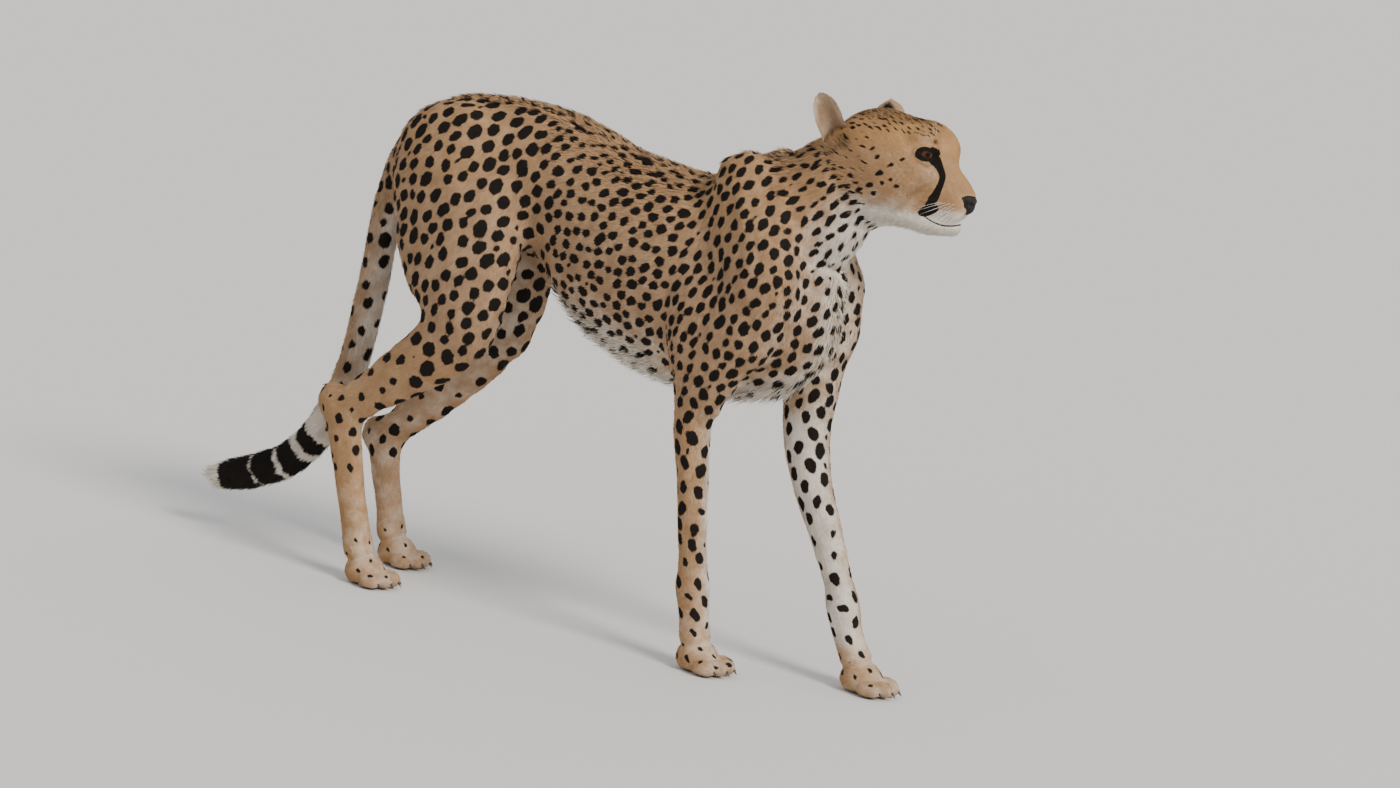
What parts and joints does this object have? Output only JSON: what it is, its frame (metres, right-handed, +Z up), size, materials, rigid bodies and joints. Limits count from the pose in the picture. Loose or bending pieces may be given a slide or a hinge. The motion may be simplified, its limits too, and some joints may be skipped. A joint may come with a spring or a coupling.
{
  "type": "cheetah figure",
  "caption": "Life-size still figure of a slim, spotted cheetah standing in mid-step with its head up and its long tail hanging low.",
  "frame": {"origin": "on the floor, under the middle of the bounding box", "axes": "+X the way the animal walks, +Y its left, +Z up"},
  "size_m": [1.2366, 0.256, 0.8287],
  "materials": {
    "spotted_fur": "short sandy fur with solid black spots, white below",
    "pale_fur": "longer white fur of the tail's tip",
    "nose_leather": "damp black leather",
    "eye": "glossy amber-brown iris with a round pupil",
    "claw": "dark horn, a little glossy"
  },
  "bodies": {
    "root": {"chest": "spotted_fur", "claw_fore_left_1": "claw", "claw_fore_left_2": "claw", "claw_fore_left_3": "claw", "claw_fore_left_4": "claw", "claw_fore_right_1": "claw", "claw_fore_right_2": "claw", "claw_fore_right_3": "claw", "claw_fore_right_4": "claw", "claw_hind_left_1": "claw", "claw_hind_left_2": "claw", "claw_hind_left_3": "claw", "claw_hind_left_4": "claw", "claw_hind_right_1": "claw", "claw_hind_right_2": "claw", "claw_hind_right_3": "claw", "claw_hind_right_4": "claw", "ear_left": "spotted_fur", "ear_right": "spotted_fur", "eye_left": "eye", "eye_right": "eye", "forearm_left": "spotted_fur", "forearm_right": "spotted_fur", "forepaw_left": "spotted_fur", "forepaw_right": "spotted_fur", "head": "spotted_fur", "hindfoot_left": "spotted_fur", "hindfoot_right": "spotted_fur", "hindpaw_left": "spotted_fur", "hindpaw_right": "spotted_fur", "hindquarters": "spotted_fur", "loin": "spotted_fur", "neck": "spotted_fur", "nose": "nose_leather", "shank_left": "spotted_fur", "shank_right": "spotted_fur", "shoulder_left": "spotted_fur", "shoulder_right": "spotted_fur", "tail_end": "spotted_fur", "tail_middle": "spotted_fur", "tail_root": "spotted_fur", "tail_tip": "pale_fur", "thigh_left": "spotted_fur", "thigh_right": "spotted_fur"}
  },
  "joints": []
}
